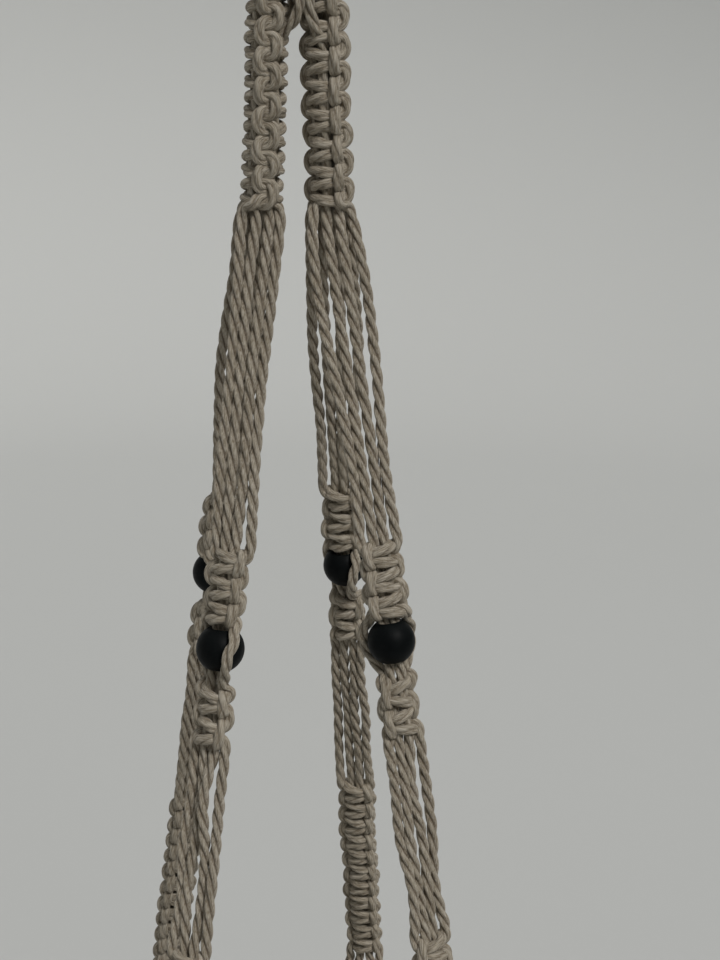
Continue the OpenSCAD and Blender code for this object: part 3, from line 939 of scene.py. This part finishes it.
def cotton_rope():
    """Cotton whose yarns and fibres run along each strand, with shade painted dark brown into the
    grooves between its plies.
    """
    mat, nodes, links, shader = new_material("cotton_rope")
    rope = nodes.new("ShaderNodeAttribute")
    rope.attribute_name = "rope"
    groove = nodes.new("ShaderNodeAttribute")
    groove.attribute_name = "groove"
    stretch = nodes.new("ShaderNodeMapping")
    stretch.inputs["Scale"].default_value = (1, 1, 0.09)
    links.new(rope.outputs["Vector"], stretch.inputs["Vector"])
    yarn = noise(nodes, links, stretch.outputs["Vector"], 2.1, 2.0, 0.6)
    fibre = noise(nodes, links, stretch.outputs["Vector"], 8.0, 3.0, 0.65)
    long_way = nodes.new("ShaderNodeMapping")
    long_way.inputs["Scale"].default_value = (0.2, 0.2, 0.05)
    links.new(rope.outputs["Vector"], long_way.inputs["Vector"])
    patches = noise(nodes, links, long_way.outputs["Vector"], 1.0, 2.0)
    base = ramp(nodes, links, patches, [(0.3, (0.53, 0.480, 0.402)), (0.7, (0.66, 0.61, 0.53))])
    streaks = ramp(nodes, links, yarn, [(0.36, (0.42, 0.37, 0.30)), (0.50, (0.80, 0.77, 0.71)),
                                        (0.64, (1.0, 1.0, 1.0))])
    colour = mix(nodes, links, 0.9, base, streaks, "MULTIPLY")
    fine = ramp(nodes, links, fibre, [(0.35, (0.72, 0.69, 0.64)), (0.65, (1.08, 1.07, 1.06))])
    colour = mix(nodes, links, 0.6, colour, fine, "MULTIPLY")
    # Painted shade: the colour is mixed towards dark brown by how deep in a groove between plies the
    # point lies
    groove_shade = maths(nodes, links, "MULTIPLY", groove.outputs["Fac"], 0.85)
    colour = mix(nodes, links, groove_shade, colour, (0.11, 0.070, 0.036))
    links.new(colour, shader.inputs["Base Color"])
    shader.inputs["Roughness"].default_value = 0.72
    shader.inputs["Specular IOR Level"].default_value = 0.35
    shader.inputs["Sheen Weight"].default_value = 0.25
    shader.inputs["Sheen Roughness"].default_value = 0.5
    shader.inputs["Sheen Tint"].default_value = (0.9, 0.85, 0.75, 1)
    first = bump(nodes, links, yarn, 1.0, 0.0010)
    second = bump(nodes, links, fibre, 0.7, 0.0003, first)
    links.new(second, shader.inputs["Normal"])
    return mat


def bead_paint():
    """Matt black paint with the wood's grain showing faintly through it."""
    mat, nodes, links, shader = new_material("bead_paint")
    place = nodes.new("ShaderNodeTexCoord").outputs["Object"]
    grain_map = nodes.new("ShaderNodeMapping")
    grain_map.inputs["Scale"].default_value = (1, 1, 0.25)
    links.new(place, grain_map.inputs["Vector"])
    grain = noise(nodes, links, grain_map.outputs["Vector"], 900, 3)
    soft = noise(nodes, links, place, 160, 2)
    colour = ramp(nodes, links, soft, [(0.3, (0.0025, 0.0033, 0.0036)), (0.7, (0.005, 0.0062, 0.0066))])
    links.new(colour, shader.inputs["Base Color"])
    rough = maths(nodes, links, "MULTIPLY_ADD", soft, 0.25, 0.36)
    links.new(rough, shader.inputs["Roughness"])
    shader.inputs["Specular IOR Level"].default_value = 0.07
    links.new(bump(nodes, links, grain, 0.25, 0.0002), shader.inputs["Normal"])
    return mat


def ring_wood():
    """Pale wood with darker pores."""
    mat, nodes, links, shader = new_material("ring_wood")
    place = nodes.new("ShaderNodeTexCoord").outputs["Object"]
    stretch = nodes.new("ShaderNodeMapping")
    stretch.inputs["Scale"].default_value = (1, 1, 0.12)
    links.new(place, stretch.inputs["Vector"])
    rings = noise(nodes, links, stretch.outputs["Vector"], 420, 5, 0.6)
    pores = noise(nodes, links, stretch.outputs["Vector"], 2600, 2, 0.5)
    colour = ramp(nodes, links, rings, [(0.25, (0.36, 0.21, 0.095)), (0.5, (0.52, 0.34, 0.17)),
                                        (0.75, (0.62, 0.43, 0.24))])
    dark = ramp(nodes, links, pores, [(0.36, (0.55, 0.45, 0.35)), (0.46, (1, 1, 1))])
    links.new(mix(nodes, links, 0.7, colour, dark, "MULTIPLY"), shader.inputs["Base Color"])
    shader.inputs["Roughness"].default_value = 0.48
    links.new(bump(nodes, links, rings, 0.2, 0.0003), shader.inputs["Normal"])
    return mat


def pot_glaze():
    """Off-white speckled glaze over throwing lines."""
    mat, nodes, links, shader = new_material("pot_glaze")
    place = nodes.new("ShaderNodeTexCoord").outputs["Object"]
    clouds = noise(nodes, links, place, 22, 4)
    specks = noise(nodes, links, place, 520, 1, 0.4)
    base = ramp(nodes, links, clouds, [(0.3, (0.60, 0.58, 0.53)), (0.7, (0.70, 0.68, 0.63))])
    spots = ramp(nodes, links, specks, [(0.69, (1, 1, 1)), (0.74, (0.42, 0.33, 0.24))])
    links.new(mix(nodes, links, 0.85, base, spots, "MULTIPLY"), shader.inputs["Base Color"])
    turning = nodes.new("ShaderNodeMapping")
    turning.inputs["Scale"].default_value = (0.02, 0.02, 1)
    links.new(place, turning.inputs["Vector"])
    throwing = noise(nodes, links, turning.outputs["Vector"], 260, 2)
    shader.inputs["Roughness"].default_value = 0.46
    links.new(bump(nodes, links, throwing, 0.25, 0.0006,
                   bump(nodes, links, clouds, 0.2, 0.0008)), shader.inputs["Normal"])
    return mat


SLOTS = {"cotton_rope": cotton_rope(), "bead_paint": bead_paint(),
         "ring_wood": ring_wood(), "pot_glaze": pot_glaze()}


def finish_piece(obj, slot, body, *nodes):
    """Gives a piece its material, the body it rides on and the CAD nodes it replaces."""
    obj.data.materials.append(SLOTS[slot])
    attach(obj, body)
    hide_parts(*nodes)


PATH_STEP = 4
for tag, rope in ropes.items():
    piece = rope.build("rope_" + tag)
    if tag.startswith("tassel_strand_"):
        path = centre_lines[tag][0]
        if path[0][2] < path[-1][2]:
            path = path[::-1]
        finish_piece(piece, "cotton_rope", "hanger", "tassel")
        route = [tuple(p * M) for p in path[::PATH_STEP]] + [tuple(path[-1] * M)]
    else:
        finish_piece(piece, "cotton_rope", "hanger", tag)


# ---------------------------------------------------------------- beads, ring and pot
def grid_object(name, rows, around, verts, closed):
    """A smooth mesh of rows of points that close round, and whose last row may join the first."""
    faces = []
    for m in range(rows if closed else rows - 1):
        a, b = m * around, (m + 1) % rows * around
        faces += [[a + k, a + (k + 1) % around, b + (k + 1) % around, b + k] for k in range(around)]
    mesh = bpy.data.meshes.new(name)
    mesh.from_pydata((np.asarray(verts) * M).tolist(), [], faces)
    mesh.polygons.foreach_set("use_smooth", [True] * len(faces))
    mesh.update()
    obj = bpy.data.objects.new(name, mesh)
    bpy.context.scene.collection.objects.link(obj)
    return obj


def lathe(name, profile, sides, origin=(0, 0, 0), axes=np.eye(3), closed=True):
    """Turns a profile of (radius, height) points about the local Z."""
    angles = 2 * math.pi * np.arange(sides) / sides
    ring = np.stack([np.cos(angles), np.sin(angles)], 1)
    local = np.concatenate([np.column_stack([ring * r, np.full(sides, z)]) for r, z in profile])
    return grid_object(name, len(profile), sides, np.asarray(origin) + local @ axes, closed)


BEAD_SIDES, BEAD_ARC_POINTS = 72, 33
BORE_ROUND, LIP_R, LIP_H = 0.55, 0.16, 0.1


def bead_profile():
    edge = math.asin((BEAD_BORE_R + BORE_ROUND) / BEAD_R)
    outside = [(BEAD_R * math.sin(a), BEAD_R * math.cos(a))
               for a in np.linspace(edge, math.pi - edge, BEAD_ARC_POINTS)]
    lip = BEAD_R * math.cos(edge)
    upper_bore = [(BEAD_BORE_R, lip - BORE_ROUND), (BEAD_BORE_R + LIP_R, lip - LIP_H)]
    lower_bore = [(r, -z) for r, z in upper_bore[::-1]]
    return (outside + lower_bore + [(BEAD_BORE_R, 0)] + upper_bore)[::-1]


for arm, name in enumerate(ARMS):
    bead = lathe("painted_bead_" + name, bead_profile(), BEAD_SIDES, arm_at(arm, BEAD),
                 arm_axes(arm, ARM_FACE[arm]))
    finish_piece(bead, "bead_paint", "bead_" + name, "bead_" + name)


POT_SIDES = 144
OUTSIDE_POINTS, INSIDE_POINTS = 60, 50
AXIS_R = 0.01


def pot_profile():
    """Down the outside, in under the foot, up the inside and over the rounded rim."""
    outside = [(pot_r(d), -SPLIT - d)
               for d in np.linspace(RIM_DROP + 2.6, BASE_DROP - 2.5, OUTSIDE_POINTS)]
    foot_r = pot_r(BASE_DROP)
    base_z = -SPLIT - BASE_DROP
    foot = [(foot_r - 0.9, base_z + 0.7), (foot_r - 2.4, base_z), (foot_r - 9, base_z),
            (foot_r - 11, base_z + 1.4), (AXIS_R, base_z + 1.6)]
    floor_drop = BASE_DROP - POT_BASE_H
    floor_z = -SPLIT - floor_drop
    inner_r = pot_r(floor_drop) - POT_WALL
    inner = [(AXIS_R, floor_z), (inner_r - 6, floor_z), (inner_r - 1.5, floor_z + 1.5)]
    inner += [(pot_r(d) - POT_WALL, -SPLIT - d)
              for d in np.linspace(floor_drop - 6, RIM_DROP + 3, INSIDE_POINTS)]
    rim_z = -SPLIT - RIM_DROP
    rim_r = pot_r(RIM_DROP)
    rim = [(rim_r - POT_WALL + 0.3, rim_z - 1.3), (rim_r - POT_WALL + 1.3, rim_z - 0.3),
           (rim_r - POT_WALL / 2, rim_z), (rim_r - 1.3, rim_z - 0.3), (rim_r - 0.2, rim_z - 1.3)]
    return (outside + foot + inner + rim)[::-1]


finish_piece(lathe("glazed_pot", pot_profile(), POT_SIDES), "pot_glaze", "pot", "pot")

RING_AROUND, RING_SECTION = 160, 28


def wooden_ring():
    verts = []
    for m in range(RING_AROUND):
        a = 2 * math.pi * m / RING_AROUND
        out = np.array([math.sin(a), 0, math.cos(a)])
        for k in range(RING_SECTION):
            b = -2 * math.pi * k / RING_SECTION
            verts.append(np.array([0, RING_BAR_R * math.sin(b), RING_Z])
                         + out * (RING_R + RING_BAR_R * math.cos(b)))
    return grid_object("wooden_ring", RING_AROUND, RING_SECTION, verts, closed=True)


finish_piece(wooden_ring(), "ring_wood", "ring", "hanging_ring")


# ---------------------------------------------------------------- stage and light
FLOOR_BELOW, FLOOR_R, FLOOR_SIDES = 250, 3500, 96
WALL_CURVE_R, WALL_CURVE_POINTS, WALL_H = 1500, 16, 3300


def floor():
    """A round pale floor that curves up into a wall far off on every side."""
    z = cad_box[0][2] / M - FLOOR_BELOW
    profile = [(1, z), (FLOOR_R, z)]
    profile += [(FLOOR_R + WALL_CURVE_R * math.sin(a), z + WALL_CURVE_R * (1 - math.cos(a)))
                for a in np.linspace(0, math.pi / 2, WALL_CURVE_POINTS)[1:]]
    profile += [(FLOOR_R + WALL_CURVE_R, z + WALL_H)]
    obj = lathe("floor", profile, FLOOR_SIDES, closed=False)
    mat, _, _, shader = new_material("floor")
    shader.inputs["Base Color"].default_value = (0.60, 0.607, 0.597, 1)
    shader.inputs["Roughness"].default_value = 0.95
    shader.inputs["Specular IOR Level"].default_value = 0.05
    obj.data.materials.append(mat)


def sun_light(name, towards, angle_deg, strength, colour):
    data = bpy.data.lights.new(name, "SUN")
    data.angle = math.radians(angle_deg)
    data.energy = strength
    data.color = colour
    light = bpy.data.objects.new(name, data)
    light.rotation_euler = Vector(towards).to_track_quat("-Z", "Y").to_euler()
    bpy.context.scene.collection.objects.link(light)


def area_light(name, at, target, size, power, colour):
    data = bpy.data.lights.new(name, "AREA")
    data.shape = "DISK"
    data.size = size
    data.energy = power
    data.color = colour
    light = bpy.data.objects.new(name, data)
    light.location = at
    light.rotation_euler = (Vector(target) - Vector(at)).to_track_quat("-Z", "Y").to_euler()
    bpy.context.scene.collection.objects.link(light)


def world():
    bpy.context.scene.view_settings.view_transform = "Standard"
    sky = bpy.data.worlds.new("world")
    sky.use_nodes = True
    back = sky.node_tree.nodes["Background"]
    back.inputs["Color"].default_value = (0.98, 1.0, 1.0, 1)
    back.inputs["Strength"].default_value = 0.27
    bpy.context.scene.world = sky


floor()
world()
sun_light("key", towards=(-0.45, 0.8, -1.0), angle_deg=18, strength=1.7, colour=(1.0, 0.985, 0.96))
area_light("back", at=(1.2, 1.4, 1.3), target=(0, 0, -0.5), size=0.8, power=4, colour=(1.0, 1.0, 1.0))
